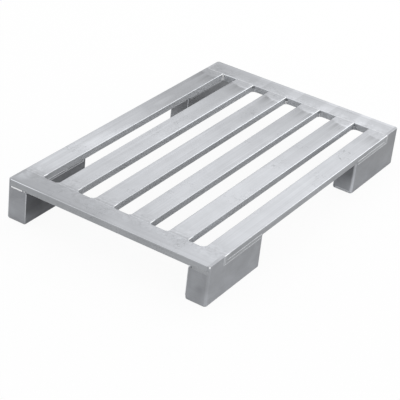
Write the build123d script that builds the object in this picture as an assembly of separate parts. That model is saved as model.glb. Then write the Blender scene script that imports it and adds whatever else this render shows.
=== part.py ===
from build123d import *
import os

# Flat pallet of welded aluminium tube, 48 by 30 inches, standing on four box feet.
# Millimetres. +X runs along the pallet from the near end to the far end, +Y to its left, +Z up.
# The origin is on the floor under the middle of the deck.

# Overall sizes
deck_length = 1219.2
deck_width = 762.0
overall_height = 144.0

# Flat tube of the deck: boards and side rails are one stock, the end rails a wider one
tube_depth = 25.4
tube_wall = 3.2
tube_corner = 3.0
board_width = 74.5
end_rail_width = 82.5
slat_count = 4
outer_gap = 59.0

# Feet, each a wall of sheet on a welded base plate. The sheet is bent at the outer corners and welded
# along the two sharper inner ones.
foot_length = 307.0
foot_width = board_width
sheet = 4.0
foot_bend = 10.5
inner_corner = 4.5
base_thickness = 7.0
base_edge_round = 6.0

# Welds: width of a bead on a flush seam, how far it stands proud, the leg of a bead in a corner,
# and how far below the deck the corner beads of the gaps end at the near and at the far end
seam_bead_width = 13.0
end_bead_width = 7.0
lip_bead_width = 5.0
inner_bead_width = 8.0
bead_rise = 1.0
corner_bead_leg = 12.0
under_bead_leg = 4.0
bead_inset = 1.0
near_bead_drop = 1.0
far_bead_drop = 10.0

# Heights and positions that follow from the sizes above
deck_top = overall_height
deck_under = overall_height - tube_depth
half_length = deck_length / 2
half_width = deck_width / 2
rail_span = deck_length - 2 * end_rail_width
end_rail_length = deck_width - 2 * foot_bend
slat_field = deck_width - 2 * (board_width + outer_gap)
inner_gap = (slat_field - slat_count * board_width) / (slat_count - 1)
slat_pitch = board_width + inner_gap
side_rail_y = half_width - board_width / 2
end_rail_x = half_length - end_rail_width / 2
first_slat_y = half_width - board_width - outer_gap - board_width / 2
foot_x = half_length - foot_length / 2
foot_y = half_width - foot_width / 2


def tube_section(plane, width):
    # Section of the flat tube: a rounded rectangle with a rounded hollow.
    outer = plane * RectangleRounded(width, tube_depth, tube_corner)
    hollow_corner = max(tube_corner - tube_wall, 0.4)
    hollow = plane * RectangleRounded(
        width - 2 * tube_wall, tube_depth - 2 * tube_wall, hollow_corner
    )
    return outer - hollow


def tube_along_x(length, width, y):
    # A tube lying along X with its top face level with the deck.
    start = Plane(origin=(-length / 2, y, deck_top - tube_depth / 2), x_dir=(0, 1, 0), z_dir=(1, 0, 0))
    return extrude(tube_section(start, width), amount=length)


def tube_along_y(length, width, x):
    # A tube lying along Y with its top face level with the deck.
    start = Plane(origin=(x, -length / 2, deck_top - tube_depth / 2), x_dir=(-1, 0, 0), z_dir=(0, 1, 0))
    return extrude(tube_section(start, width), amount=length)


def foot_plan(length, width, outer_radius, inner_radius):
    # The near right foot seen from above: two outer corners with one radius, two inner with another.
    plan = Rectangle(length, width)
    plan = fillet(plan.vertices().group_by(Axis.Y)[0], outer_radius)
    return fillet(plan.vertices().group_by(Axis.Y)[-1], inner_radius)


def foot_outline(z, inner_radius):
    # The outline of a foot at a given height, in its place at the near right corner of the pallet.
    at = Plane.XY.offset(z) * Pos(-foot_x, -foot_y)
    return at * foot_plan(foot_length, foot_width, foot_bend, inner_radius)


def foot_ring(z):
    # The same outline less its hollow: one thickness of sheet all the way round.
    at = Plane.XY.offset(z) * Pos(-foot_x, -foot_y)
    hollow_corner = max(inner_corner - sheet, 0.5)
    hollow = at * foot_plan(
        foot_length - 2 * sheet, foot_width - 2 * sheet, foot_bend - sheet, hollow_corner
    )
    return foot_outline(z, inner_corner) - hollow


def rail_cap():
    # Block over the near right foot that closes the end of the end rail. Its outer corner
    # follows the bend of the foot and its upper outer edge is rounded like the tubes.
    cap_x = -half_length + end_rail_width / 2
    cap_y = -half_width + foot_bend / 2
    block = Pos(cap_x, cap_y, deck_under + tube_depth / 2) * Box(end_rail_width, foot_bend, tube_depth)
    near_faces_end = block.faces().sort_by(Axis.X)[0]
    outer_corner = near_faces_end.edges().sort_by(Axis.Y)[0]
    rounded = fillet(outer_corner, foot_bend - 0.1)
    top_edges = rounded.faces().sort_by(Axis.Z)[-1].edges()
    inner_limit = -half_width + foot_bend - 0.05
    far_limit = -half_length + end_rail_width - 0.05
    outer_edges = [e for e in top_edges if (e @ 0.5).Y < inner_limit and (e @ 0.5).X < far_limit]
    return fillet(outer_edges, tube_corner)


def foot_shell():
    # Folded wall of the near right foot with the cap of the end rail standing on it.
    wall = extrude(foot_ring(base_thickness), amount=deck_under - base_thickness)
    return wall + rail_cap()


def foot_base():
    # Base plate under the wall, its lower edge ground round. Its inner corners are ground with the edge.
    plate = extrude(foot_outline(0, base_edge_round + 0.5), amount=base_thickness)
    lower_edges = plate.edges().group_by(Axis.Z)[0]
    return fillet(lower_edges, base_edge_round)


def bead_section(plane, width):
    # Section of a bead on a flush seam: a flat arc standing on the plane's X axis.
    # It starts and ends a little way up, so that its edges are not feather sharp.
    half = width / 2
    foot_rise = bead_rise * 0.15
    left = Line((-half, 0), (-half, foot_rise))
    crown = ThreePointArc((-half, foot_rise), (0, bead_rise), (half, foot_rise))
    right = Line((half, foot_rise), (half, 0))
    sole = Line((half, 0), (-half, 0))
    return plane * make_face([left, crown, right, sole])


def flush_bead(start, run, outward, length, width):
    # A bead laid from a start point along a run direction on a face with the given outward normal.
    section_plane = Plane(origin=start, x_dir=Vector(*outward).cross(Vector(*run)), z_dir=run)
    return extrude(bead_section(section_plane, width), amount=length)


def corner_bead(corner, run, first_leg, second_leg, length, leg):
    # A bead in an inner corner: two flat sides against the metal and a slightly hollow face.
    first = Vector(*first_leg) * leg
    second = Vector(*second_leg) * leg
    at = Vector(*corner)
    middle = at + (first + second) * 0.36
    sides = [
        Line(at, at + first),
        ThreePointArc(at + first, middle, at + second),
        Line(at + second, at),
    ]
    return extrude(make_face(sides), amount=length, dir=run)


def foot_welds():
    # Beads that join the near right foot to the deck.
    outer = -half_width
    end = -half_length
    inner_side = outer + foot_width
    inner_end = end + foot_length
    seam_length = foot_length - end_rail_width - foot_bend
    side_seam = flush_bead(
        (end + end_rail_width, outer, deck_under), (1, 0, 0), (0, -1, 0), seam_length, seam_bead_width
    )
    lip_seam = flush_bead(
        (end + end_rail_width, outer, deck_under + seam_bead_width / 2),
        (0, 0, 1),
        (0, -1, 0),
        tube_depth - seam_bead_width / 2 - tube_corner,
        lip_bead_width,
    )
    end_seam = flush_bead(
        (end, outer + foot_bend, deck_under), (0, 1, 0), (-1, 0, 0), foot_width - 2 * foot_bend, end_bead_width
    )
    under_rail_seam = corner_bead(
        (end + foot_bend, inner_side, deck_under),
        (1, 0, 0),
        (0, 1, 0),
        (0, 0, -1),
        end_rail_width - foot_bend,
        under_bead_leg,
    )
    inside_start = end_rail_width + corner_bead_leg
    inside_seam = flush_bead(
        (end + inside_start, inner_side, deck_under),
        (1, 0, 0),
        (0, 1, 0),
        foot_length - inside_start - foot_bend,
        inner_bead_width,
    )
    inner_end_seam = corner_bead(
        (inner_end, outer + foot_bend, deck_under),
        (0, 1, 0),
        (1, 0, 0),
        (0, 0, -1),
        foot_width - 2 * foot_bend,
        under_bead_leg,
    )
    return [side_seam + lip_seam, end_seam, under_rail_seam, inside_seam, inner_end_seam]


def deck_corner_welds(end, drop):
    # Upright beads in the corners of the gaps at one end: end is -1 for near, +1 for far.
    # They end by the given drop below the deck.
    face_x = end * (half_length - end_rail_width)
    edges = [(half_width - board_width, -1)]
    for index in range(slat_count):
        middle = first_slat_y - index * slat_pitch
        edges.append((middle + board_width / 2, 1))
        edges.append((middle - board_width / 2, -1))
    edges.append((-half_width + board_width, 1))
    height = tube_depth - bead_inset - drop
    low = deck_under + bead_inset
    return [
        corner_bead((face_x, y, low), (0, 0, 1), (-end, 0, 0), (0, side, 0), height, corner_bead_leg)
        for y, side in edges
    ]


def to_corner(shape, far, left):
    # Moves a shape made at the near right corner to another corner of the pallet.
    placed = shape
    if far:
        placed = mirror(placed, about=Plane.YZ)
    if left:
        placed = mirror(placed, about=Plane.XZ)
    return placed


pieces = {}
pieces["end_rail_near"] = tube_along_y(end_rail_length, end_rail_width, -end_rail_x)
pieces["end_rail_far"] = tube_along_y(end_rail_length, end_rail_width, end_rail_x)
pieces["side_rail_left"] = tube_along_x(rail_span, board_width, side_rail_y)
pieces["side_rail_right"] = tube_along_x(rail_span, board_width, -side_rail_y)

for index in range(slat_count):
    slat_y = first_slat_y - index * slat_pitch
    pieces[f"deck_slat_{index + 1}"] = tube_along_x(rail_span, board_width, slat_y)

shell = foot_shell()
base = foot_base()
welds = foot_welds()
corners = {
    "near_right": (False, False),
    "near_left": (False, True),
    "far_right": (True, False),
    "far_left": (True, True),
}
for corner_name, (far, left) in corners.items():
    pieces[f"foot_shell_{corner_name}"] = to_corner(shell, far, left)
    pieces[f"foot_base_{corner_name}"] = to_corner(base, far, left)
    pieces[f"foot_welds_{corner_name}"] = Compound([to_corner(bead, far, left) for bead in welds])

pieces["deck_welds_near"] = Compound(deck_corner_welds(-1, near_bead_drop))
pieces["deck_welds_far"] = Compound(deck_corner_welds(1, far_bead_drop))

os.makedirs("parts", exist_ok=True)
for name, piece in pieces.items():
    export_step(piece, f"parts/{name}.step")

print(len(pieces), "pieces, gap between slats", inner_gap)
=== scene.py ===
# %% [markdown]
# # A welded aluminium pallet
# The pallet is flat tube and folded sheet, cut, welded and ground. It carries no paint, so the whole
# look is bare metal: long draw marks on the tube, a duller skin on the folded sheet, ground places
# where the boards meet the end rails, and rippled beads where nobody ground them.
# The shapes of tube and sheet come from the CAD frame as they are. Only the welds are modelled here.

import math
from types import SimpleNamespace

import bmesh
import bpy
from mathutils import Matrix, Vector


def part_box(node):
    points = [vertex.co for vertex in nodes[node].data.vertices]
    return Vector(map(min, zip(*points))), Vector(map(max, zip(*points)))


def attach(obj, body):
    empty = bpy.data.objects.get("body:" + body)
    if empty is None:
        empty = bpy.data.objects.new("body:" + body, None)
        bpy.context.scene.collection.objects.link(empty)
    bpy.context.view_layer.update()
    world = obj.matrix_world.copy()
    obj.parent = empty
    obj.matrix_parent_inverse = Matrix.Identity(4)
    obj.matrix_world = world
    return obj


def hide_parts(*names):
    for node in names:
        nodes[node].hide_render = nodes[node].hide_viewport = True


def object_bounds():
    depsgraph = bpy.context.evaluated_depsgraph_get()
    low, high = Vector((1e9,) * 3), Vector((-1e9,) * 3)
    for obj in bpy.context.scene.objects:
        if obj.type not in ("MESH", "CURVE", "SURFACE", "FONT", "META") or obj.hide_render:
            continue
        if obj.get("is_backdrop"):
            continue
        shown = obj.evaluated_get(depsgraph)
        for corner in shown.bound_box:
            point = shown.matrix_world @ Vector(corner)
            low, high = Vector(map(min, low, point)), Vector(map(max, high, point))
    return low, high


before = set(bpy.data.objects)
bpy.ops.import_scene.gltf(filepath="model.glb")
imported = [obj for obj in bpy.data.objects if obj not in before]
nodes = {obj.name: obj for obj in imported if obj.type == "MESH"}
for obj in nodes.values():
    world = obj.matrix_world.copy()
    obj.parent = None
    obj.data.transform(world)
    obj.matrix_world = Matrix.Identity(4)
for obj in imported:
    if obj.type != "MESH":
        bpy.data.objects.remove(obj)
cad_low, cad_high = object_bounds()
print(len(nodes), "nodes, box", [round(v, 4) for v in cad_low], [round(v, 4) for v in cad_high])

# %% [markdown]
# The joints are wanted again and again, so their places are measured once from the CAD nodes. Only the
# radius of the feet's outer bends is given, because no box tells it.
# Everything is in metres, with the near end at negative X and the right side at negative Y.

# %% Measure the pallet
end_low, end_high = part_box("end_rail_near")
outer_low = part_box("side_rail_right")[0]
foot_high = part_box("foot_shell_near_right")[1]
DECK_TOP = end_high[2]
DECK_UNDER = end_low[2]
HALF_LENGTH = -end_low[0]
JOINT_X = -end_high[0]
HALF_WIDTH = -outer_low[1]
FOOT_INNER_X = -foot_high[0]
FOOT_INNER_Y = -foot_high[1]
FOOT_BEND = 0.0105
slat_middle = [(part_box(name)[0][1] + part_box(name)[1][1]) / 2 for name in ("deck_slat_1", "deck_slat_2")]
SLAT_PITCH = slat_middle[0] - slat_middle[1]
BEAD_RISE = -cad_low[0] - HALF_LENGTH
print("deck", round(DECK_UNDER, 4), "to", round(DECK_TOP, 4))
print("joints at x", round(JOINT_X, 4), "beads stand", round(BEAD_RISE, 5))

# %% [markdown]
# ## Colours and nodes
# A colour is written as a painter's hex value and turned to the linear numbers that light works in.
# One helper adds a node. Its inputs come in the order of its sockets or by name, its settings by name,
# and a node among the inputs is linked by its first output. So a range node reads its value between
# its second and third numbers, and gives what lies between the fourth and fifth. A mix node's socket 0
# is the share of the second of its two numbers, sockets 2 and 3, or of its two colours, 6 and 7.


# %% Helpers for materials
def linear(hex_value):
    channels = [int(hex_value[i:i + 2], 16) / 255 for i in (1, 3, 5)]
    return [c / 12.92 if c <= 0.04045 else ((c + 0.055) / 1.055) ** 2.4 for c in channels] + [1.0]


def add(tree, kind, inputs=(), **settings):
    node = tree.nodes.new("ShaderNode" + kind)
    for name, value in settings.items():
        setattr(node, name, value)
    named = inputs if isinstance(inputs, dict) else dict(enumerate(inputs))
    for name, value in named.items():
        if isinstance(value, bpy.types.Node):
            value = value.outputs[0]
        if isinstance(value, bpy.types.NodeSocket):
            tree.links.new(value, node.inputs[name])
        else:
            node.inputs[name].default_value = value
    return node


def start_material(name):
    material = bpy.data.materials.new(name)
    material.use_nodes = True
    material.node_tree.nodes.clear()
    return material, material.node_tree


print("white is", linear("#FFFFFF")[:3])

# %% [markdown]
# ## How metal gets its tones
# Bare metal is never one grey. Tones say how pale it is from place to place, and multiply each other.
# A mark is a tone that shows only where all its masks are full: it has a list of masks and a gain, which
# is over one where it makes the metal paler. All the finishes end in the same metal shader.


# %% Tones, marks and the shader
def toned(tree, shade, tones, marks):
    for tone in tones:
        shade = add(tree, "Math", (shade, tone), operation="MULTIPLY")
    for masks, gain in marks:
        mask = masks[0]
        for other in masks[1:]:
            mask = add(tree, "Math", (mask, other), operation="MULTIPLY")
        tone = add(tree, "MapRange", (mask, 0.0, 1.0, 1.0, gain))
        shade = add(tree, "Math", (shade, tone), operation="MULTIPLY")
    return shade


def bare_metal(tree, colour, shade, rough, relief, strength, depth):
    tinted = add(tree, "VectorMath", {0: colour, "Scale": shade}, operation="SCALE")
    bump = add(tree, "Bump", {"Height": relief, "Strength": strength, "Distance": depth})
    shader = add(tree, "BsdfPrincipled",
                 {"Base Color": tinted, "Roughness": rough, "Normal": bump, "Metallic": 1.0})
    add(tree, "OutputMaterial", {"Surface": shader})


# %% [markdown]
# Corners of bare metal are rubbed bright, and their extra paleness here is partly that wear and partly a
# painted highlight. A rounded corner could be painted edge by edge, but its normal gives it away: the
# largest of the normal's three parts is one on a flat face and least half way round a corner.


# %% Where a corner is rubbed and given a painted highlight
def edge_wear_and_highlight(tree, full=0.80):
    normal = add(tree, "NewGeometry").outputs["Normal"]
    size = add(tree, "VectorMath", (normal,), operation="ABSOLUTE")
    parts = add(tree, "SeparateXYZ", (size,)).outputs
    level = add(tree, "Math", (parts["X"], parts["Y"]), operation="MAXIMUM")
    largest = add(tree, "Math", (level, parts["Z"]), operation="MAXIMUM")
    return add(tree, "MapRange", (largest, 0.985, full))


# %% [markdown]
# ## Mill finish aluminium tube
# Tube comes out of the extrusion die with fine draw marks along its length. Loads slid over the deck
# rub its upper face paler, while the sides keep a grey skin. The separate top and side colours are partly
# this wear and partly painted light and shade. At the joints the welds were sanded flush.
# There the draw marks give way to cloudy sanding marks that end in a bright rim where the disc was
# lifted, and beyond the rim lies a darker streaked band.
# It could be painted as a picture, but a pattern that reads its own place needs none and stays sharp
# from close by. So the finish first finds where a point lies: how far inward of the joint, how far from
# the middle of its slat, and which way it faces.


# %% Where on the tube
def tube_places(tree):
    at = SimpleNamespace(place=add(tree, "TexCoord").outputs["Object"])
    at.facing = add(tree, "SeparateXYZ", (add(tree, "NewGeometry").outputs["Normal"],)).outputs
    at.upward = add(tree, "MapRange", (at.facing["Z"], 0.55, 0.95))
    at.steep = add(tree, "Math", (1.0, at.upward), operation="SUBTRACT")
    where = add(tree, "SeparateXYZ", (at.place,)).outputs
    at.x, at.y = where["X"], where["Y"]
    at.off_x = add(tree, "Math", (at.x,), operation="ABSOLUTE")
    at.off_y = add(tree, "Math", (at.y,), operation="ABSOLUTE")
    at.reach = add(tree, "Math", (JOINT_X, at.off_x), operation="SUBTRACT")
    off_slat = add(tree, "Math", (at.y, SLAT_PITCH / 2), operation="SUBTRACT")
    at.across = add(tree, "Math", (off_slat, SLAT_PITCH / 2, -SLAT_PITCH / 2), operation="WRAP")
    at.far_half = add(tree, "Math", (at.x, 0.0), operation="GREATER_THAN")
    at.near_half = add(tree, "Math", (1.0, at.far_half), operation="SUBTRACT")
    at.far_top = add(tree, "Math", (at.upward, at.far_half), operation="MULTIPLY")
    at.on_slat = add(tree, "MapRange", (at.off_y, 0.29, 0.27))
    at.on_board = add(tree, "MapRange", (at.reach, 0.0, 0.003))
    return at


# %% [markdown]
# Draw marks are noise stretched along the tube. Real ones are about 0.1 mm wide. Here they are 2 to 6 mm
# wide, as fine as the picture shows. The sanded patch ends on a curved line that wanders a little, and
# inside it small cloudy noise takes the place of the marks.

# %% Draw marks and sanded patches
FINE_MARKS = (2.0, 330.0)
BROAD_MARKS = (1.2, 60.0)
PATCH_REACH = 0.027
PATCH_CURVE = -6.0
PATCH_SHIFT = 0.02


def tube_grain(tree, at, along):
    noises = []
    for lengthwise, crosswise in (FINE_MARKS, BROAD_MARKS):
        stretch = [lengthwise, crosswise] if along == "x" else [crosswise, lengthwise]
        stretched = add(tree, "Mapping", {"Vector": at.place, "Scale": (*stretch, crosswise)})
        noises.append(add(tree, "TexNoise", {"Vector": stretched, "Scale": 1.0, "Detail": 3.0,
                                             "Roughness": 0.6}))
    fine, at.broad = noises
    clouds = add(tree, "TexNoise", {"Vector": at.place, "Scale": 9.0, "Detail": 4.0, "Roughness": 0.6,
                                    "Distortion": 0.6})
    sanding = add(tree, "TexNoise", {"Vector": at.place, "Scale": 34.0, "Detail": 5.0, "Roughness": 0.62,
                                     "Distortion": 1.8})
    off_axis = add(tree, "Math", (at.across, PATCH_SHIFT), operation="ADD")
    square = add(tree, "Math", (off_axis, off_axis), operation="MULTIPLY")
    limit = add(tree, "Math", (square, PATCH_CURVE, PATCH_REACH), operation="MULTIPLY_ADD")
    ragged = add(tree, "Math", (clouds, 0.030, limit), operation="MULTIPLY_ADD")
    torn = add(tree, "Math", (sanding, 0.014, ragged), operation="MULTIPLY_ADD")
    at.past_rim = add(tree, "Math", (at.reach, torn), operation="SUBTRACT")
    far_slat = add(tree, "Math", (at.far_half, at.on_slat), operation="MULTIPLY")
    soft = add(tree, "MapRange", (far_slat, 0.0, 1.0, 0.020, 0.004))
    harsh = add(tree, "Math", (soft, -1.0), operation="MULTIPLY")
    on_a_board = add(tree, "MapRange", (at.past_rim, soft, harsh))
    on_a_rail = add(tree, "MapRange", (at.reach, -0.060, -0.020))
    at.sanded = add(tree, "Math", (on_a_board, on_a_rail), operation="MULTIPLY")
    fine_shade = add(tree, "MapRange", (fine, 0.3, 0.7, 0.94, 1.06))
    broad_shade = add(tree, "MapRange", (at.broad, 0.3, 0.7, 0.94, 1.05))
    sand_shade = add(tree, "MapRange", (sanding, 0.35, 0.65, 0.91, 1.11))
    drawn = add(tree, "Math", (fine_shade, broad_shade), operation="MULTIPLY")
    grain = add(tree, "Mix", {0: at.sanded, 2: drawn, 3: sand_shade}, data_type="FLOAT")
    cloud_shade = add(tree, "MapRange", (clouds, 0.3, 0.7, 0.95, 1.04))
    return grain, cloud_shade


print("marks repeat", FINE_MARKS, "and", BROAD_MARKS, "times a metre, along and across")

# %% [markdown]
# The marks at the joints: the sanded patches of the far half are paler, with a bright rim on the right
# side of each slat, and the darker band beyond the rim fades over some 80 mm and is torn into streaks.
# A painted highlight runs a little way in from the right edge of each slat, most at the far end. Near
# joints were handled most and are dull, and every joint has two faint lines beside it. The far end rail
# is duller along the boards and paler along its outer edge, and the near one is duller along the left
# half of its edge.

# %% Marks at the joints
FIRST_LINE, SECOND_LINE = 0.0085, 0.0205


def joint_marks_and_highlight(tree, at):
    off_rim = add(tree, "Math", (at.past_rim,), operation="ABSOLUTE")
    rim_line = add(tree, "MapRange", (off_rim, 0.012, 0.001))
    rim_side = add(tree, "MapRange", (at.across, 0.02, -0.02))
    patch_gain = add(tree, "MapRange", (at.on_slat, 0.0, 1.0, 0.98, 1.09))
    highlight_strip = add(tree, "MapRange", (at.across, -0.021, -0.032))
    far_edge = add(tree, "MapRange", (at.x, 0.05, 0.30))
    band = add(tree, "MapRange", (at.past_rim, 0.085, 0.004))
    beyond = add(tree, "MapRange", (at.past_rim, -0.002, 0.004))
    streaks = add(tree, "MapRange", (at.broad, 0.62, 0.40))
    band_gain = add(tree, "MapRange", (at.far_top, 0.0, 1.0, 0.96, 0.74))
    near_joint = add(tree, "MapRange", (at.reach, 0.075, 0.022))
    less_right = add(tree, "MapRange", (at.y, -0.31, -0.27, 0.4, 1.0))
    hem = add(tree, "MapRange", (at.reach, 0.010, 0.005, 0.90, 0.78))
    folded = add(tree, "Math", (at.reach, (FIRST_LINE + SECOND_LINE) / 2), operation="PINGPONG")
    off_line = add(tree, "Math", (folded, FIRST_LINE), operation="SUBTRACT")
    off_line = add(tree, "Math", (off_line,), operation="ABSOLUTE")
    thin = add(tree, "MapRange", (off_line, 0.0022, 0.0008))
    close = add(tree, "MapRange", (at.reach, 0.030, 0.024))
    inside = add(tree, "MapRange", (at.reach, 0.002, 0.004))
    inner_strip = add(tree, "MapRange", (at.reach, -0.068, -0.045))
    on_rail = add(tree, "MapRange", (at.reach, 0.003, 0.0))
    far_gain = add(tree, "MapRange", (at.y, 0.25, -0.15, 1.05, 1.15))
    far_strip = add(tree, "MapRange", (at.x, 0.590, 0.602))
    near_gain = add(tree, "MapRange", (at.y, -0.05, 0.05, 1.02, 0.92))
    near_strip = add(tree, "MapRange", (at.x, -0.588, -0.600))
    return [
        ((at.sanded, at.far_top), patch_gain),
        ((rim_line, rim_side, at.far_top, at.on_slat), 1.27),
        # Painted highlight near the right edge of each slat on the far half.
        ((highlight_strip, far_edge, at.on_slat, at.upward), 1.12),
        ((band, streaks, beyond), band_gain),
        ((at.near_half, near_joint, at.on_board, at.upward, less_right), hem),
        ((thin, close, inside), 0.93),
        ((inner_strip, on_rail, at.far_top), 0.92),
        ((far_strip, at.upward), far_gain),
        ((near_strip, at.upward), near_gain),
    ]


print("faint lines", round((SECOND_LINE - FIRST_LINE) * 1000), "mm apart")

# %% [markdown]
# The sides get painted light and shade. Towards the far joints they are painted paler, and the outer side
# of the right rail is painted darker, more towards the far end. The pallet's near end and the inner side of
# the far end rail are painted paler to the left. The right side of slat 4 gets a painted highlight where it
# passes the feet. Four sides have a mark of their own, painted shade where the gain is under one and
# painted
# light where it is over: each entry is the Y of the face, where along X the mark starts and is full, and
# its gain.

# %% Painted light and shade on the sides
SLAT_4_SIDE, SLAT_3_SIDE, LEFT_RAIL_SIDE, RIGHT_RAIL_SIDE = -0.2475, -0.1075, 0.3065, -0.3810
SIDE_PAINTED_LIGHT = (
    (SLAT_4_SIDE, -0.15, -0.03, 0.93),
    (SLAT_3_SIDE, 0.22, 0.36, 1.09),
    (LEFT_RAIL_SIDE, -0.42, -0.25, 0.96),
    (RIGHT_RAIL_SIDE, 0.25, 0.36, 0.93),
)
FACE_REACH = 0.006


def side_painted_light(tree, at):
    to_joint = add(tree, "MapRange", (at.x, 0.10, 0.50))
    before_rail = add(tree, "MapRange", (at.x, 0.56, 0.54))
    outermost = add(tree, "MapRange", (at.y, -0.372, -0.378))
    outer_gain = add(tree, "MapRange", (at.x, -0.30, 0.30, 0.93, 0.88))
    front = add(tree, "MapRange", (at.x, -0.55, -0.60))
    front_gain = add(tree, "MapRange", (at.y, -0.10, 0.30, 0.99, 1.06))
    looks_back = add(tree, "Math", (at.x, JOINT_X, FACE_REACH), operation="COMPARE")
    back_gain = add(tree, "MapRange", (at.y, 0.05, 0.27, 1.0, 1.16))
    beside_foot = add(tree, "MapRange", (at.off_x, 0.27, 0.40))
    slat_4 = add(tree, "Math", (at.y, SLAT_4_SIDE, FACE_REACH), operation="COMPARE")
    # All these marks are painted light and shade.
    marks = [
        ((to_joint, before_rail, at.steep), 1.09),
        ((outermost, at.steep), outer_gain),
        ((front, at.steep), front_gain),
        ((looks_back, at.steep), back_gain),
        ((beside_foot, slat_4, at.steep, at.on_board), 1.42),
    ]
    for face_y, start, full, gain in SIDE_PAINTED_LIGHT:
        on_face = add(tree, "Math", (at.y, face_y, FACE_REACH), operation="COMPARE")
        part_way = add(tree, "MapRange", (at.x, start, full))
        marks.append(((on_face, part_way, at.steep), gain))
    return marks


print("sides with a mark of their own", len(SIDE_PAINTED_LIGHT))

# %% [markdown]
# The boards have paler and duller patches, long ovals with streaked ends, each with its place, size and
# gain. A level line of a noise is a thin winding scratch, which shows only where a second noise is high
# and at three worn spots. Three deep scratches on the right rail are small ovals with a turn.

# %% Patches and scratches
PATCHES = (
    ((-0.1068, 0.3139), (0.075, 0.020), 1.12),
    ((-0.2150, 0.3300), (0.085, 0.022), 1.13),
    ((0.1950, 0.3378), (0.060, 0.012), 1.13),
    ((-0.5620, 0.3580), (0.036, 0.026), 1.20),
    ((0.4550, 0.3640), (0.070, 0.018), 0.95),
    ((0.4500, 0.3140), (0.080, 0.012), 1.05),
    ((-0.4500, 0.2380), (0.080, 0.018), 1.06),
    ((0.2000, 0.2360), (0.150, 0.020), 1.06),
    ((0.3500, 0.0980), (0.130, 0.018), 1.08),
    ((-0.1500, -0.0850), (0.150, 0.034), 0.965),
    ((0.5000, -0.0900), (0.030, 0.020), 1.05),
    ((0.3200, -0.2160), (0.240, 0.034), 0.955),
    ((0.4150, -0.3180), (0.040, 0.016), 0.91),
    ((0.3000, -0.3660), (0.140, 0.016), 1.03),
    ((0.5600, 0.1640), (0.036, 0.050), 0.92),
    ((0.5450, -0.3200), (0.022, 0.070), 1.07),
)
WORN_SPOTS = ((0.28, -0.338), (-0.30, 0.353), (-0.55, -0.23))
DEEP_SCRATCHES = (
    ((0.3135, -0.3232), 0.3, (0.007, 0.0028)),
    ((0.3142, -0.3442), 1.1, (0.006, 0.0024)),
    ((0.2560, -0.3400), 0.8, (0.007, 0.0028)),
)


def from_oval(tree, place, spot, size, height, turn=0.0):
    oval = add(tree, "Mapping", {"Vector": place, "Location": (*spot, DECK_TOP), "Rotation": (0, 0, turn),
                                 "Scale": (*size, height)}, vector_type="TEXTURE")
    return add(tree, "VectorMath", (oval,), operation="LENGTH").outputs["Value"]


def patch_marks(tree, at):
    marks = []
    for spot, size, gain in PATCHES:
        away = from_oval(tree, at.place, spot, size, 0.02)
        streaked = add(tree, "Math", (at.broad, 1.6, away), operation="MULTIPLY_ADD")
        patch = add(tree, "MapRange", (streaked, 2.1, 1.3))
        marks.append(((patch, at.upward), gain))
    return marks


def scratches(tree, at):
    wander = add(tree, "TexNoise", {"Vector": at.place, "Scale": 40.0, "Detail": 3.0, "Roughness": 0.6,
                                    "Distortion": 1.0})
    off_level = add(tree, "Math", (wander, 0.5), operation="SUBTRACT")
    level = add(tree, "Math", (off_level,), operation="ABSOLUTE")
    hair = add(tree, "MapRange", (level, 0.012, 0.004))
    few = add(tree, "TexNoise", {"Vector": at.place, "Scale": 6.5, "Detail": 2.0, "Roughness": 0.5})
    here = add(tree, "MapRange", (few, 0.56, 0.64))
    for spot in WORN_SPOTS:
        away = add(tree, "VectorMath", (at.place, (*spot, DECK_TOP)), operation="DISTANCE").outputs["Value"]
        near_spot = add(tree, "MapRange", (away, 0.060, 0.030))
        here = add(tree, "Math", (here, near_spot), operation="MAXIMUM")
    scratch = add(tree, "Math", (hair, here), operation="MULTIPLY")
    for spot, turn, size in DEEP_SCRATCHES:
        deep = add(tree, "MapRange", (from_oval(tree, at.place, spot, size, 0.01, turn), 1.3, 0.7))
        scratch = add(tree, "Math", (scratch, deep), operation="MAXIMUM")
    return [((scratch,), 0.70)]


print("patches", len(PATCHES), "worn spots", len(WORN_SPOTS), "deep scratches", len(DEEP_SCRATCHES))

# %% [markdown]
# Where a long edge is rubbed it gets a painted highlight, most on the right sides, and more towards the
# far end. On the last 30 mm before a joint, where the sander touched the edge as well, it gets a painted
# glint.


# %% Painted highlight of the rubbed edges
def painted_edge_highlight(tree, at):
    best = add(tree, "MapRange", (at.y, 0.28, 0.30, 1.85, 1.50))
    far_edge_highlight = add(tree, "MapRange", (at.x, -0.45, 0.10, 1.15, best))
    end_shine = add(tree, "MapRange", (at.x, -0.1, 0.1, 1.15, 0.5))
    ground_edge_glint = add(tree, "MapRange", (at.reach, 0.032, 0.016, 0.0, end_shine))
    brightest = add(tree, "Math", (far_edge_highlight, ground_edge_glint), operation="ADD")
    right_shine = add(tree, "MapRange", (at.facing["Y"], 0.1, -0.3, 1.05, brightest))
    left_shine = add(tree, "MapRange", (at.y, 0.22, 0.30, 1.0, 1.45))
    front_shine = add(tree, "MapRange", (at.facing["X"], -0.1, -0.4, 1.0, left_shine))
    return add(tree, "Math", (right_shine, front_shine), operation="MULTIPLY")
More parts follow.
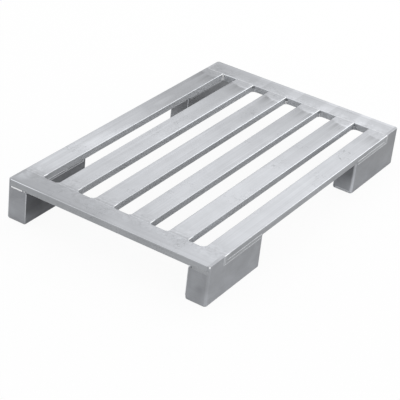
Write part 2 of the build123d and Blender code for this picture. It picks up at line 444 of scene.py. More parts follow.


# %% [markdown]
# Now the whole tube. The boards, the left rail and the two end rails differ a little in colour and in
# how their tones run. These runs are painted light and shade: from the right side to the left, darker on
# the tops towards the far left corner, darker towards the near right corner, and darker towards the
# middle slats. The grey skin of the sides is also rougher than the rubbed top.


# %% The tube's finish
def mill_finish_and_painted_light(name, along, top_colour, side_colour, far_left_tone, right_tone, left_tone, middle_shade=1.0,
                near_right_tone=1.0, shade_from=0.0, shade_to=0.48):
    material, tree = start_material(name)
    at = tube_places(tree)
    grain, cloud_shade = tube_grain(tree, at, along)
    # Painted shade and light: the tops darken towards the far left, and the tone runs from right to left.
    to_far = add(tree, "MapRange", (at.x, shade_from, shade_to))
    to_left = add(tree, "MapRange", (at.y, -0.50, 0.34, 0.0, 1.0 - far_left_tone))
    painted_far_shade = add(tree, "Math", (to_far, to_left), operation="MULTIPLY")
    painted_far_shade = add(tree, "Math", (painted_far_shade, at.upward), operation="MULTIPLY")
    side_tone = add(tree, "MapRange", (at.y, -0.36, 0.36, right_tone, left_tone))
    painted_tone = add(tree, "Math", (side_tone, painted_far_shade), operation="SUBTRACT")
    # Painted shade at the near right corner and over the middle slats.
    near_right = add(tree, "MapRange", (at.y, -0.34, -0.20, near_right_tone, 1.0))
    near_tone = add(tree, "MapRange", (at.x, -0.48, -0.10, near_right, 1.0))
    middle_tone = add(tree, "MapRange", (at.off_y, 0.05, 0.30, middle_shade, 1.0))
    marks = joint_marks_and_highlight(tree, at) + side_painted_light(tree, at) + patch_marks(tree, at) + scratches(tree, at)
    shade = toned(tree, grain, (cloud_shade, painted_tone, near_tone, middle_tone), marks)

    # Rounded corners drop the marks and tones and get the painted edge highlight instead.
    round_corner = edge_wear_and_highlight(tree)
    smooth = add(tree, "Mix", {0: round_corner, 2: shade, 3: 1.0}, data_type="FLOAT")
    paleness_and_painted_light = toned(tree, smooth, (), [((round_corner,), painted_edge_highlight(tree, at))])
    # Top and side colours differ partly by wear and partly as painted light and shade.
    base = add(tree, "Mix", {0: at.upward, 6: linear(side_colour), 7: linear(top_colour)}, data_type="RGBA")
    rough = add(tree, "MapRange", (at.broad, 0.3, 0.7, 0.36, 0.48))
    skin = add(tree, "MapRange", (at.upward, 0.0, 1.0, 0.36, 0.0))
    grip = add(tree, "Math", (rough, skin), operation="ADD")
    relief = add(tree, "Mix", {0: round_corner, 2: grain, 3: 1.0}, data_type="FLOAT")
    bare_metal(tree, base.outputs[2], paleness_and_painted_light, grip, relief, strength=0.10, depth=0.0005)
    return material


board_metal = mill_finish_and_painted_light("mill_finish_board_tube", "x", "#C1C3C7", "#BABCBF", 0.66, 1.0, 1.04,
                          middle_shade=0.95, near_right_tone=0.90)
left_rail_metal = mill_finish_and_painted_light("mill_finish_left_rail_tube", "x", "#C1C3C7", "#BABCBF", 0.60, 1.0, 1.09,
                              shade_from=-0.20, shade_to=0.25)
near_end_metal = mill_finish_and_painted_light("mill_finish_near_end_tube", "y", "#B1B3B7", "#B9BBBE", 1.0, 1.04, 0.87)
far_end_metal = mill_finish_and_painted_light("mill_finish_far_end_tube", "y", "#C2C4C8", "#BFC1C4", 0.82, 1.05, 0.95)
print("tube finishes", board_metal.name, left_rail_metal.name, near_end_metal.name, far_end_metal.name)

# %% [markdown]
# ## Folded sheet
# The feet are rolled sheet, folded and welded shut. Rolling leaves a flat satin grey with faint cloudy
# stains. The bends are paler as a painted highlight, and the faces that look in under the deck are darkened
# as painted shade. The left feet stand at positive Y, and their inner walls look towards negative Y. These
# walls are painted paler low down, at their outer end, and high up under the open gap. The ends of the far
# feet that look back under the deck are darkened as painted shade too, the left one more than the right and
# least low down, but their bends get the strongest painted highlight.

# %% Painted light and shade on the sheet
INNER_BEND_X = 0.308
BEND_REACH = 0.012


def sheet_painted_light(tree, place, facing):
    x, y, z = add(tree, "SeparateXYZ", (place,)).outputs
    left = add(tree, "Math", (y, 0.0), operation="MAXIMUM")
    inward = add(tree, "Math", (facing["Y"], left), operation="MULTIPLY")
    # Painted shade on the inner walls of the left feet, paler low down, at the outer end and under the gap.
    inner_wall = add(tree, "MapRange", (inward, -0.30, -0.22, 1.0, 0.0))
    under_deck_shade = add(tree, "MapRange", (x, -0.1, 0.1, 0.45, 0.50))
    low_down = add(tree, "MapRange", (z, 0.02, 0.05, 1.35, 0.80))
    outer_end = add(tree, "MapRange", (x, -0.60, -0.53, 1.20, 0.80))
    high_up = add(tree, "MapRange", (z, 0.035, 0.065, 1.0, 2.2))
    under_gap_light = add(tree, "MapRange", (x, -0.535, -0.505, 1.0, high_up))
    wall_gain = toned(tree, low_down, (outer_end, under_gap_light), ())

    # Painted shade on the far feet's ends that look back under the deck.
    far = add(tree, "Math", (x, 0.0), operation="MAXIMUM")
    back = add(tree, "Math", (facing["X"], far), operation="MULTIPLY")
    back_end = add(tree, "MapRange", (back, -0.29, -0.22, 1.0, 0.0))
    end_gain = add(tree, "MapRange", (y, -0.3, 0.3, 0.86, 0.83))
    low_gain = add(tree, "MapRange", (y, -0.375, -0.315, 1.30, 1.05))
    low_end = add(tree, "MapRange", (z, 0.010, 0.080, low_gain, 0.68))

    # Painted highlight on the bends.
    off_y = add(tree, "Math", (y,), operation="ABSOLUTE")
    at_inner_bend = add(tree, "Math", (x, INNER_BEND_X, BEND_REACH), operation="COMPARE")
    outer_shine = add(tree, "MapRange", (at_inner_bend, 0.0, 1.0, 1.09, 1.45))
    inner_shine = add(tree, "MapRange", (x, -0.1, 0.1, 1.22, 2.00))
    bend_shine = add(tree, "MapRange", (off_y, 0.33, 0.32, outer_shine, inner_shine))
    return [
        ((edge_wear_and_highlight(tree, 0.93),), bend_shine),
        ((inner_wall,), under_deck_shade),
        ((inner_wall,), wall_gain),
        ((back_end,), end_gain),
        ((back_end,), low_end),
    ]


# %% [markdown]
# Painted shade darkens the feet along their right sides from the near end to the far end, and all of them
# from the floor upwards, and draws a dark line along the ground edge under them. The last stretch at the
# far end and the left feet are painted a little darker too. One old smudge sits low on the end of the near
# right foot. The caps of the end rails are ground together with them, so their tops are as pale as the
# rails.

# %% The sheet's finish
SMUDGE = (-0.6096, -0.355, 0.053)


def folded_sheet(name, colour, near_top, far_top):
    material, tree = start_material(name)
    place = add(tree, "TexCoord").outputs["Object"]
    facing = add(tree, "SeparateXYZ", (add(tree, "NewGeometry").outputs["Normal"],)).outputs
    x, y, z = add(tree, "SeparateXYZ", (place,)).outputs
    rolled = add(tree, "Mapping", {"Vector": place, "Scale": (30.0, 30.0, 500.0)})
    grain = add(tree, "TexNoise", {"Vector": rolled, "Scale": 1.0, "Detail": 3.0, "Roughness": 0.6})
    stains = add(tree, "TexNoise", {"Vector": place, "Scale": 17.0, "Detail": 4.0, "Roughness": 0.6,
                                    "Distortion": 0.8})
    grain_shade = add(tree, "MapRange", (grain, 0.3, 0.7, 0.96, 1.04))
    stain_shade = add(tree, "MapRange", (stains, 0.3, 0.7, 0.85, 1.10))
    right_face = add(tree, "MapRange", (facing["Y"], -0.6, -0.95))
    along_side = add(tree, "MapRange", (x, -0.6, 0.6, 1.10, 0.82))
    side_tone = add(tree, "Mix", {0: right_face, 2: 0.97, 3: along_side}, data_type="FLOAT")
    low_tone = add(tree, "MapRange", (x, -0.60, 0.40, 1.09, 1.16))
    high_tone = add(tree, "MapRange", (x, -0.45, 0.40, 0.92, 0.89))
    upright_tone = add(tree, "MapRange", (z, 0.012, 0.100, low_tone, high_tone))
    last_edge = add(tree, "MapRange", (x, 0.54, 0.60, 1.0, 0.93))
    left_tone = add(tree, "MapRange", (y, -0.30, 0.30, 1.0, 0.965))
    under_edge = add(tree, "MapRange", (z, 0.0050, 0.0010, 1.0, 0.74))
    off_smudge = add(tree, "VectorMath", (place, SMUDGE), operation="DISTANCE").outputs["Value"]
    ragged = add(tree, "Math", (stains, -0.03, off_smudge), operation="MULTIPLY_ADD")
    smudge = add(tree, "MapRange", (ragged, -0.010, 0.006, 0.86, 1.0))
    # All these tones but the stains and the smudge are painted light and shade.
    tones = (stain_shade, side_tone, upright_tone, last_edge, left_tone, under_edge, smudge)
    shade = toned(tree, grain_shade, tones, sheet_painted_light(tree, place, facing))

    end = add(tree, "MapRange", (x, -0.1, 0.1))
    cap = add(tree, "Mix", {0: end, 6: linear(near_top), 7: linear(far_top)}, data_type="RGBA")
    upward = add(tree, "MapRange", (facing["Z"], 0.55, 0.95))
    base = add(tree, "Mix", {0: upward, 6: linear(colour), 7: cap.outputs[2]}, data_type="RGBA")
    rough = add(tree, "MapRange", (stains, 0.3, 0.7, 0.36, 0.48))
    bare_metal(tree, base.outputs[2], shade, rough, grain, strength=0.08, depth=0.0004)
    return material


sheet_metal = folded_sheet("rolled_sheet_folded", "#A2A4A8", "#B3B5B9", "#C0C2C6")
print("sheet finish", sheet_metal.name)

# %% [markdown]
# ## Weld metal
# An aluminium bead is bright and clean where it froze, with dark specks of soot at its edges. Where it
# was ground it shows short sanding marks. Beads deep in corners and in shade get a darker metal, and crater
# hollows a darker one still, both as painted shade. One finish serves them all: metal of a given paleness
# with small grey specks, whose rounded parts get the painted highlight of corners.


# %% The welds' finish
def weld_finish(name, colour, low_rough, high_rough):
    material, tree = start_material(name)
    place = add(tree, "TexCoord").outputs["Object"]
    specks = add(tree, "TexNoise", {"Vector": place, "Scale": 160.0, "Detail": 3.0, "Roughness": 0.7})
    clouds = add(tree, "TexNoise", {"Vector": place, "Scale": 45.0, "Detail": 3.0, "Roughness": 0.6})
    speck_shade = add(tree, "MapRange", (specks, 0.32, 0.6, 0.82, 1.05))
    cloud_shade = add(tree, "MapRange", (clouds, 0.3, 0.7, 0.9, 1.08))
    shade = toned(tree, speck_shade, (cloud_shade,), [((edge_wear_and_highlight(tree, 0.92),), 1.5)])
    rough = add(tree, "MapRange", (specks, 0.3, 0.7, low_rough, high_rough))
    bare_metal(tree, linear(colour)[:3], shade, rough, specks, strength=0.15, depth=0.0004)
    return material


bead_metal = weld_finish("bright_weld_bead", "#BFC1C4", 0.28, 0.42)
ground_metal = weld_finish("ground_weld_seam", "#A9ABAE", 0.4, 0.55)
flush_metal = weld_finish("sanded_weld_on_the_deck", "#BEC0C4", 0.38, 0.5)
fresh_metal = weld_finish("shiny_weld_bead", "#E4E5E7", 0.25, 0.38)
# The last two are darker as painted shade: for beads in corners and shade, and for crater hollows.
shaded_weld_metal = weld_finish("weld_bead_painted_shade", "#8E9093", 0.4, 0.55)
crater_shade_metal = weld_finish("weld_crater_painted_shade", "#7A7C7F", 0.6, 0.8)
print("weld finishes", [metal.name for metal in (bead_metal, ground_metal, flush_metal, fresh_metal,
                                                 shaded_weld_metal, crater_shade_metal)])

# %% [markdown]
# ## Dress the CAD nodes
# Tubes, feet and base plates keep their CAD shapes and only get their finish. The CAD weld nodes give
# way to the beads modelled below, all but the upright ones at the far end.

# %% Give the CAD nodes their finish
OWN_FINISH = {
    "end_rail_near": near_end_metal,
    "end_rail_far": far_end_metal,
    "side_rail_left": left_rail_metal,
}
for name, node in nodes.items():
    if name.startswith("foot_shell") or name.startswith("foot_base"):
        finish = sheet_metal
    elif "welds" in name:
        finish = ground_metal
    else:
        finish = OWN_FINISH.get(name, board_metal)
    for material_slot in node.material_slots:
        material_slot.material = finish
print("dressed", len(nodes), "nodes")

# %% [markdown]
# ## Weld beads
# A bead is a row of frozen puddles, each lying over the one before. It could be a tube with a bumpy
# texture, but the ripples also show in its outline, so one puddle is modelled and repeated: a ball
# squashed to the bead's width and rise, leaned back a little, with the half that would be inside the
# metal cut off. An array lays the puddles along the seam.
# Real ripples are about 1 mm apart. These are 2 to 4.5 mm apart, because finer ones don't show.
# Every piece is modelled along X with its outer side up, and then turned to run along its seam.

# %% Directions, and how a piece is stood on its seam
FARWARD, NEARWARD = (1, 0, 0), (-1, 0, 0)
LEFTWARD, RIGHTWARD = (0, 1, 0), (0, -1, 0)
UPWARD = (0, 0, 1)


def select_only(piece):
    bpy.ops.object.select_all(action="DESELECT")
    piece.select_set(True)
    bpy.context.view_layer.objects.active = piece


def stand_on_seam(piece, start, run, outward, metal):
    along, out = Vector(run), Vector(outward)
    turn = Matrix((along, out.cross(along), out)).transposed().to_4x4()
    piece.matrix_world = Matrix.Translation(Vector(start)) @ turn
    bpy.ops.object.transform_apply(location=True, rotation=True, scale=True)
    piece.data.materials.append(metal)
    return piece


print("a piece that runs", FARWARD, "and looks", RIGHTWARD, "has its width along",
      tuple(Vector(RIGHTWARD).cross(Vector(FARWARD))))

# %% Model a row of puddles
PUDDLE_LEAN = math.radians(7)
PUDDLE_OVERLAP = 1.15
PUDDLE_SUNK = 0.35


def lay_bead(name, start, run, outward, length, width, rise, pitch=0.003):
    count = max(2, round(length / pitch))
    bpy.ops.object.select_all(action="DESELECT")
    bpy.ops.mesh.primitive_uv_sphere_add(segments=12, ring_count=8, radius=1.0, location=(0, 0, 0))
    bead = bpy.context.object
    bead.name = name
    bpy.ops.object.mode_set(mode="EDIT")
    bpy.ops.mesh.select_all(action="SELECT")
    bpy.ops.transform.resize(value=(pitch * PUDDLE_OVERLAP, width / 2, rise))
    bpy.ops.transform.rotate(value=PUDDLE_LEAN, orient_axis="Y", center_override=(0, 0, 0))
    tallest = max(vertex.co.z for vertex in bmesh.from_edit_mesh(bead.data).verts)
    bpy.ops.transform.resize(value=(1, 1, rise / tallest))
    bpy.ops.mesh.bisect(plane_co=(0, 0, -rise * PUDDLE_SUNK), plane_no=(0, 0, 1), clear_inner=True,
                        use_fill=True)
    bpy.ops.object.mode_set(mode="OBJECT")
    row = bead.modifiers.new("row", "ARRAY")
    row.count = count
    row.use_relative_offset = False
    row.use_constant_offset = True
    row.constant_offset_displace = ((length - 2 * pitch) / (count - 1), 0, 0)
    bpy.ops.object.modifier_apply(modifier="row")
    bpy.ops.object.shade_smooth()
    return stand_on_seam(bead, Vector(start) + Vector(run) * pitch, run, outward, bead_metal)


# %% [markdown]
# ## Ground seams
# The long seams at the outer side of each foot were ground: a band about as wide as a finger, flat,
# with a soft edge. It starts as a bar, its outer face is inset and pushed out, and the edges are
# bevelled so that the upper one catches the light and the lower one draws a thin dark line.

# %% Model a ground seam
SOFT_EDGE = 0.2


def lay_ground_seam(name, start, run, outward, length, width, rise, slope=0.0022):
    bpy.ops.object.select_all(action="DESELECT")
    bpy.ops.mesh.primitive_cube_add(size=1.0, location=(0, 0, 0))
    seam = bpy.context.object
    seam.name = name
    bpy.ops.object.mode_set(mode="EDIT")
    bpy.ops.mesh.select_all(action="SELECT")
    bpy.ops.transform.resize(value=(length, width, rise))
    bpy.ops.transform.translate(value=(length / 2, 0, 0))
    bpy.ops.mesh.select_mode(type="FACE")
    bpy.ops.mesh.select_all(action="DESELECT")
    bpy.ops.object.mode_set(mode="OBJECT")
    for polygon in seam.data.polygons:
        polygon.select = polygon.normal.z > 0.9
    bpy.ops.object.mode_set(mode="EDIT")
    bpy.ops.mesh.inset(thickness=slope, depth=0)
    bpy.ops.transform.translate(value=(0, 0, rise * 0.49))
    bpy.ops.object.mode_set(mode="OBJECT")
    bevel = seam.modifiers.new("soft_edge", "BEVEL")
    bevel.width = rise * SOFT_EDGE
    bevel.segments = 1
    bevel.limit_method = "ANGLE"
    bpy.ops.object.modifier_apply(modifier="soft_edge")
    bpy.ops.object.shade_smooth_by_angle(angle=math.radians(15))
    return stand_on_seam(seam, start, run, outward, ground_metal)


# %% [markdown]
# ## The four feet
# All beads of the near right foot are modelled in place. The other three feet get mirrored copies,
# whose faces are turned outward again, because mirroring turns a mesh inside out.


# %% Join, copy and declare pieces
def join_pieces(name, parts):
    select_only(parts[0])
    for part in parts[1:]:
        part.select_set(True)
    if len(parts) > 1:
        bpy.ops.object.join()
    piece = bpy.context.object
    piece.name = name
    return piece


def mirrored_copy(piece, name, flip_x, flip_y):
    copy = piece.copy()
    copy.data = piece.data.copy()
    copy.name = name
    bpy.context.collection.objects.link(copy)
    copy.scale = (-1 if flip_x else 1, -1 if flip_y else 1, 1)
    select_only(copy)
    bpy.ops.object.transform_apply(location=True, rotation=True, scale=True)
    bpy.ops.object.mode_set(mode="EDIT")
    bpy.ops.mesh.select_all(action="SELECT")
    bpy.ops.mesh.normals_make_consistent(inside=False)
    bpy.ops.object.mode_set(mode="OBJECT")
    return copy


def declare(piece, *replaced):
    if replaced:
        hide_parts(*replaced)
    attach(piece, "root")


# %% [markdown]
# The outer seam runs from the end rail to the foot's inner bend. Its band was ground flat, and a fine
# line of the old ripples is left above it and another below. The lip is the same, but upright: it
# closes the joint between end rail and side rail.

# %% Outer seam and lip
DECK_DEPTH = DECK_TOP - DECK_UNDER
FOOT_SIDE = HALF_WIDTH - FOOT_INNER_Y
GROUND_RISE = BEAD_RISE * 0.8
LINE_RISE = BEAD_RISE * 0.9
BAND_WIDTH = 0.013
band_end = -FOOT_INNER_X - FOOT_BEND
seam_length = band_end + JOINT_X
side_seam = lay_ground_seam(
    "side_seam", (-JOINT_X + 0.002, -HALF_WIDTH, DECK_UNDER), FARWARD, RIGHTWARD,
    seam_length - 0.002, BAND_WIDTH, GROUND_RISE,
)
upper_line = lay_bead(
    "upper_line", (-JOINT_X + 0.016, -HALF_WIDTH, DECK_UNDER + 0.0062), FARWARD, RIGHTWARD,
    seam_length - 0.018, 0.0020, LINE_RISE,
)
lower_line = lay_bead(
    "lower_line", (-JOINT_X - 0.003, -HALF_WIDTH, DECK_UNDER - 0.0064), FARWARD, RIGHTWARD,
    seam_length + 0.001, 0.0026, BEAD_RISE,
)
lip_low = DECK_UNDER - 0.0075
lip_height = DECK_DEPTH + 0.0045
lip_seam = lay_ground_seam(
    "lip_seam", (-JOINT_X, -HALF_WIDTH, lip_low), UPWARD, RIGHTWARD, lip_height, 0.008, GROUND_RISE,
)
lip_lines = [
    lay_bead(
        "lip_line", (-JOINT_X + shift, -HALF_WIDTH, lip_low), UPWARD, RIGHTWARD,
        lip_height, 0.0024, LINE_RISE,
    )
    for shift in (-0.0036, 0.0036)
]
print("outer seam", round(seam_length * 1000), "mm long, lip", round(lip_height * 1000), "mm high")

# %% [markdown]
# On its inner side the foot has a narrower ground seam with a strong line below, a weaker one above,
# and a blob where the upper line was broken off.

# %% Inner seam
inside_x = -JOINT_X + 0.001
inside_length = seam_length - 0.001
inside_seam = lay_ground_seam(
    "inside_seam", (inside_x, -FOOT_INNER_Y, DECK_UNDER), FARWARD, LEFTWARD,
    inside_length, 0.008, GROUND_RISE,
)
inside_lines = [
    lay_bead(
        "inside_line", (inside_x, -FOOT_INNER_Y, DECK_UNDER + lift), FARWARD, LEFTWARD,
        length, width, LINE_RISE, pitch=0.002,
    )
    for lift, length, width in ((-0.0038, inside_length, 0.0042), (0.0036, 0.112, 0.0024))
]
inside_blob = lay_bead(
    "inside_blob", (-JOINT_X + 0.114, -FOOT_INNER_Y, DECK_UNDER - 0.001), FARWARD, LEFTWARD,
    0.012, 0.010, BEAD_RISE * 1.3, pitch=0.004,
)
print("inner lines", len(inside_lines))

# %% [markdown]
# Four more beads close the folded sheet: the upright one where its ends meet, the ones under the end
# rail and at the foot's inner end, which fill a corner and so face half way out of it, and the one
# that holds the base plate.

# %% Corner beads of the foot
FILLET_WIDTH, FILLET_RISE = 0.006, 0.0025
bend_to_bend = FOOT_SIDE - 2 * FOOT_BEND
upright_corner = lay_bead(
    "upright_corner", (-HALF_LENGTH + 0.0012, -FOOT_INNER_Y - 0.0012, 0.012), UPWARD,
    Vector((-1, 1, 0)).normalized(), DECK_UNDER - 0.018, 0.0036, 0.0014, pitch=0.0045,
)
corner_seam = lay_bead(
    "corner_seam", (-HALF_LENGTH + FOOT_BEND, -FOOT_INNER_Y, DECK_UNDER), FARWARD,
    Vector((0, 1, -1)).normalized(), HALF_LENGTH - JOINT_X - FOOT_BEND, FILLET_WIDTH, FILLET_RISE,
)
inner_end_bead = lay_bead(
    "inner_end_bead", (-FOOT_INNER_X, -HALF_WIDTH + FOOT_BEND, DECK_UNDER), LEFTWARD,
    Vector((1, 0, -1)).normalized(), bend_to_bend, FILLET_WIDTH, FILLET_RISE,
)
base_bead = lay_bead(
    "base_bead", (-FOOT_INNER_X, -HALF_WIDTH + FOOT_BEND, 0.0075), LEFTWARD, FARWARD,
    bend_to_bend, 0.0055, BEAD_RISE,
)
upright_corner.data.materials[0] = ground_metal
near_right = join_pieces(
    "weld_foot_near_right",
    [side_seam, upper_line, lower_line, lip_seam, *lip_lines, inside_seam,
     upright_corner, corner_seam, inner_end_bead, base_bead],
)
inside_right = join_pieces("weld_inside_near_right", [*inside_lines, inside_blob])
print("near right foot welds:", len(near_right.data.polygons), "faces")

# %% Mirror them to the other feet
OTHER_FEET = (("near_left", False, True), ("far_right", True, False), ("far_left", True, True))
for corner, flip_x, flip_y in OTHER_FEET:
    foot_copy = mirrored_copy(near_right, "weld_foot_" + corner, flip_x, flip_y)
    declare(foot_copy, "foot_welds_" + corner)
    inside_copy = mirrored_copy(inside_right, "weld_inside_" + corner, flip_x, flip_y)
    # The far feet's inner lines get the darker metal as painted shade.
    inside_copy.data.materials[0] = shaded_weld_metal if flip_x else bead_metal
    declare(inside_copy)
declare(near_right, "foot_welds_near_right")
declare(inside_right)
print("mirrored to", [foot[0] for foot in OTHER_FEET])

# %% [markdown]
# The seam across the end of each foot is a plain rippled bead that finishes in a small lump. Only the
# near right one was ground to a wide faint band, and there the bead stopped short and left a crater, its
# dark colour painted shade of the hollow. A shiny drop froze on the outer upright edge of that corner.

# %% Rippled end seams
end_bead = lay_bead(
    "end_bead", (-HALF_LENGTH, -HALF_WIDTH + 0.013, DECK_UNDER), LEFTWARD, NEARWARD,
    FOOT_SIDE - 0.029, 0.0052, BEAD_RISE,
)
end_lump = lay_bead(
    "end_lump", (-HALF_LENGTH, -FOOT_INNER_Y - 0.0115, DECK_UNDER), LEFTWARD, NEARWARD,
    0.006, 0.006, BEAD_RISE,
)
rippled_end = join_pieces("rippled_end", [end_bead, end_lump])
rippled_end.data.materials[0] = fresh_metal
for corner, flip_x, flip_y in OTHER_FEET[1:] + OTHER_FEET[:1]:
    declare(mirrored_copy(rippled_end, "weld_end_" + corner, flip_x, flip_y))
bpy.data.objects.remove(rippled_end)
print("rippled end seams", len(OTHER_FEET))

# %% Ground end seam with its crater
ground_band = lay_ground_seam(
    "ground_band", (-HALF_LENGTH, -HALF_WIDTH + 0.003, DECK_UNDER + 0.0015), LEFTWARD, NEARWARD,
    FOOT_SIDE - 0.016, BAND_WIDTH, GROUND_RISE,
)
band_lump = lay_bead(
    "band_lump", (-HALF_LENGTH + 0.001, -FOOT_INNER_Y - 0.0075, DECK_UNDER + 0.0005), LEFTWARD,
    NEARWARD, 0.0065, 0.0065, 0.0019,
)
corner_drop = lay_bead(
    "corner_drop", (-HALF_LENGTH + 0.0028, -HALF_WIDTH + 0.0028, DECK_TOP - 0.0068), UPWARD,
    Vector((-1, -1, 0)).normalized(), 0.0062, 0.0055, 0.0022, pitch=0.002,
)
corner_drop.data.materials[0] = fresh_metal
declare(join_pieces("weld_end_near_right", [ground_band, band_lump, corner_drop]))
crater = lay_bead(
    "weld_crater_near_right", (-HALF_LENGTH + 0.0004, -FOOT_INNER_Y - 0.0145, DECK_UNDER), LEFTWARD,
    NEARWARD, 0.0065, 0.0065, BEAD_RISE,
)
# The dark metal is painted shade of the crater's hollow.
crater.data.materials[0] = crater_shade_metal
declare(crater)
print("one ground end seam, one crater")

# %% [markdown]
# ## Corner beads of the gaps
# Each board is welded upright to the end rail in the corners of the gaps, where a grinder can't reach.
# Over each runs a row of ripples. At the near end every corner took another amount of metal, so the ten
# beads differ in size. At the far end they stop short of the deck, all but the first. There the ones on
# the right side of a board face the camera and get the pale shiny metal as a painted highlight, save the
# third of the row, which gets the darker metal as painted shade like the ones on the left sides.

# %% Corner ripples
BOARDS = ("side_rail_left", "deck_slat_1", "deck_slat_2", "deck_slat_3", "deck_slat_4", "side_rail_right")
NEAR_LEGS = (0.006, 0.006, 0.010, 0.010, 0.008, 0.005, 0.005, 0.006, 0.005, 0.012)
FAR_LEG = 0.012
RIPPLES_RISE = 0.0014
above_under = 0.002
near_drop, first_far_drop, far_drop = 0.0045, 0.003, 0.0115

# A board has a corner at its left edge (side 1) and one at its right edge (side -1).
# The side rails have only the one that looks into a gap.
board_edges = []
for name in BOARDS:
    low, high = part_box(name)
    if name != BOARDS[0]:
        board_edges.append((high[1], 1))
    if name != BOARDS[-1]:
        board_edges.append((low[1], -1))

corner_beads = {"near": [], "far": []}
for index, ((edge_y, side), near_leg) in enumerate(zip(board_edges, NEAR_LEGS)):
    out = Vector((1, side, 0)).normalized()
    drop_there = first_far_drop if index == 0 else far_drop
    for end, leg, drop in (("near", near_leg, near_drop), ("far", FAR_LEG, drop_there)):
        start = Vector((-JOINT_X, edge_y, DECK_UNDER + above_under)) + out * leg * 0.45
        height = DECK_DEPTH - above_under - drop
        bead = lay_bead("corner_bead", start, UPWARD, out, height, leg * 0.67, RIPPLES_RISE)
        corner_beads[end].append(bead)
    # At the far end the pale metal is painted highlight and the darker metal painted shade.
    bead.data.materials[0] = fresh_metal if side == -1 and index != 2 else shaded_weld_metal
deck_near = join_pieces("weld_deck_near", corner_beads["near"])
unturned = join_pieces("weld_deck_unturned", corner_beads["far"])
deck_far = mirrored_copy(unturned, "weld_deck_far", True, False)
bpy.data.objects.remove(unturned)
declare(deck_near)
declare(deck_far)
print(len(board_edges), "corner beads an end,", len(deck_near.data.polygons), "faces")

# %% [markdown]
# At the near end the corners were filled up to the deck and sanded with it, some with more metal than
# others. A block is cut across its corner and its cut face is pressed in a little, which makes it as
# hollow as a real fillet. The block reaches 1 mm into the metal on both sides.

# %% Model a filled corner
INTO_METAL = 0.001
HOLLOW = 0.14


def lay_corner_pad(corner, leg, thickness, side):
    bpy.ops.object.select_all(action="DESELECT")
    bpy.ops.mesh.primitive_cube_add(size=1.0, location=(0, 0, 0))
    pad = bpy.context.object
    bpy.ops.object.mode_set(mode="EDIT")
    bpy.ops.mesh.select_all(action="SELECT")
    block = leg + 2 * INTO_METAL
    bpy.ops.transform.resize(value=(block, block, thickness))
    shift = leg / 2 - INTO_METAL
    bpy.ops.transform.translate(value=(shift, side * shift, -thickness / 2))
    bpy.ops.mesh.bisect(plane_co=(leg, 0, 0), plane_no=(1, side, 0), clear_outer=True, use_fill=True)
    bpy.ops.mesh.select_all(action="SELECT")
    bpy.ops.mesh.bisect(plane_co=(0, 0, 0), plane_no=(1, -side, 0))
    bpy.ops.mesh.select_mode(type="VERT")
    bpy.ops.mesh.select_all(action="DESELECT")
    bpy.ops.object.mode_set(mode="OBJECT")
    for vertex in pad.data.vertices:
        off_x, off_y = abs(vertex.co.x - leg / 2), abs(vertex.co.y - side * leg / 2)
        vertex.select = off_x < leg * 0.1 and off_y < leg * 0.1
    bpy.ops.object.mode_set(mode="EDIT")
    bpy.ops.transform.translate(value=(-leg * HOLLOW, -side * leg * HOLLOW, 0))
    bpy.ops.object.mode_set(mode="OBJECT")
    pad.location = corner
    bpy.ops.object.transform_apply(location=True, rotation=True, scale=True)
    pad.data.materials.append(flush_metal)
    return pad


# %% Fill the near corners
fill_depth = DECK_DEPTH - 0.001
fill_top = DECK_TOP - 0.0002
pads = [lay_corner_pad((-JOINT_X, y, fill_top), leg, fill_depth, side)
        for (y, side), leg in zip(board_edges, NEAR_LEGS)]
declare(join_pieces("weld_pads_near", pads), "deck_welds_near")
print("filled corners", len(pads))

# %% [markdown]
# Where a welder stops too soon, the last puddle shrinks and leaves a crater. Three far corners have
# one: a lump above the bead, dark as painted shade of its hollow, longest at the first slat and palest at
# the third.

# %% Craters at the far end
CRATERS = (
    ("deck_slat_1", 0.0165, 0.0090, crater_shade_metal),
    ("deck_slat_2", 0.0075, 0.0090, crater_shade_metal),
    ("deck_slat_3", 0.0080, 0.0068, shaded_weld_metal),
)
CRATER_TOP = DECK_TOP - 0.0035
out = Vector((-1, -1, 0)).normalized()
craters = []
for name, depth, width, metal in CRATERS:
    low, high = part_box(name)
    start = Vector((JOINT_X, low[1], CRATER_TOP - depth)) + out * 0.0030
    crater = lay_bead("crater", start, UPWARD, out, depth + 0.0015, width, 0.0022, pitch=0.0028)
    # The metal is painted shade of the crater's hollow.
    crater.data.materials[0] = metal
    craters.append(crater)
declare(join_pieces("weld_craters_far", craters))
print("craters", len(CRATERS))

# %% [markdown]
# ## Flush seams on top
# Where a board butts against an end rail, the groove between the two rounded edges was filled with
# weld and ground flush. What is left is a hair line. The filling is a low bar that lies in the
# groove, a little under the deck, so that the line stays visible without being black.

# %% Seam fillings
ROUND_EDGE = 0.0035
fillings = []
for name in BOARDS:
    low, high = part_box(name)
    filling = lay_ground_seam(
        "filling", (-JOINT_X, low[1] + ROUND_EDGE, DECK_TOP - 0.0010), LEFTWARD, UPWARD,
        high[1] - low[1] - 2 * ROUND_EDGE, 0.0046, 0.0009, slope=0.0006,
    )
    fillings.append(filling)
seams_near = join_pieces("weld_seams_near", fillings)
seams_near.data.materials[0] = flush_metal
seams_far = mirrored_copy(seams_near, "weld_seams_far", True, False)
seams_far.data.materials[0] = fresh_metal
declare(seams_near)
declare(seams_far)
print("seam fillings", len(BOARDS), "an end")

# %% [markdown]
# ## Floor and light
# The pallet stands on a white table in a white room. The table is nearly all glow and a little paint to
# the eye, so it looks as white as the room and still takes the pallet's shadow. The metal mirrors mostly
# the paint and is lit by the paint alone, so that no glow shines on it from below.
# Two soft lamps behind the pallet do the rest: the higher one throws the broad sheen over the right
# half of the deck, and the smaller one on the right picks out the rounded edges of the tubes.

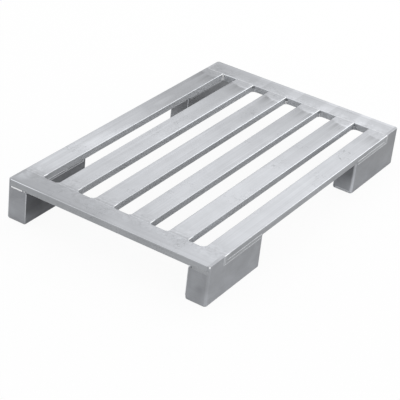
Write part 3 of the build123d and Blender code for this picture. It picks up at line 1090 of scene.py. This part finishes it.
# %% Floor
GLOW_SEEN, GLOW_MIRRORED = 0.93, 0.15
bpy.ops.object.select_all(action="DESELECT")
bpy.ops.mesh.primitive_plane_add(size=60, location=(0, 0, 0))
floor = bpy.context.object
floor.name = "studio_floor"
table_paint, tree = start_material("white_table")
rays = add(tree, "LightPath").outputs
seen = add(tree, "Math", (rays["Is Camera Ray"], rays["Is Transmission Ray"]), operation="MAXIMUM")
seen_share = add(tree, "Math", (seen, GLOW_SEEN), operation="MULTIPLY")
share = add(tree, "Math", (rays["Is Glossy Ray"], GLOW_MIRRORED, seen_share), operation="MULTIPLY_ADD")
paint = add(tree, "BsdfDiffuse", {"Color": linear("#EDEDED")})
glow = add(tree, "Emission", {"Color": linear("#FFFFFF"), "Strength": 1.0})
mix = add(tree, "MixShader", (share, paint, glow))
add(tree, "OutputMaterial", {"Surface": mix})
floor.data.materials.append(table_paint)
floor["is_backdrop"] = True
print("floor", floor.name)

# %% World
world = bpy.data.worlds.new("studio_room")
bpy.context.scene.world = world
world.use_nodes = True
room = world.node_tree
room.nodes.clear()
white = add(room, "Background", {"Color": linear("#FFFFFF"), "Strength": 1.0})
add(room, "OutputWorld", {"Surface": white})
print("world", world.name)


# %% Lamps
def softbox(name, place, target, size, watts):
    lamp_data = bpy.data.lights.new(name, "AREA")
    lamp_data.shape = "RECTANGLE"
    lamp_data.size, lamp_data.size_y = size
    lamp_data.energy = watts
    lamp = bpy.data.objects.new(name, lamp_data)
    bpy.context.collection.objects.link(lamp)
    lamp.location = place
    lamp.rotation_euler = (Vector(target) - Vector(place)).to_track_quat("-Z", "Y").to_euler()
    return lamp


softbox("back_softbox", (2.6, 0.6, 3.2), (0.0, -0.3, 0.1), (2.4, 2.0), 15)
softbox("edge_softbox", (3.0, -1.5, 2.2), (0.0, 0.0, 0.1), (1.6, 1.2), 10)
print("lamps", [lamp.name for lamp in bpy.data.lights])

# %% [markdown]
# ## Camera
# The camera stands beyond the near end, to the right of the pallet's middle line. It is about 5 m away
# and nearly 30 degrees up, has a long lens, and is held a little tilted.

# %% Camera
camera_data = bpy.data.cameras.new("photo_camera")
camera_data.sensor_width = 36.0
camera_data.lens = 131.84
camera_data.clip_end = 200
camera = bpy.data.objects.new("photo_camera", camera_data)
bpy.context.collection.objects.link(camera)
camera.location = (-3.7401, -2.1468, 2.4479)
camera.rotation_euler = (1.04301, -0.09919, -0.98506)
bpy.context.scene.camera = camera
bpy.context.scene.view_settings.view_transform = "Standard"
print("camera", round(camera.location.length, 2), "m from the pallet")

# %% Print the visual box
low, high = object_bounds()
print("visual box", [round(v, 4) for v in low], [round(v, 4) for v in high])
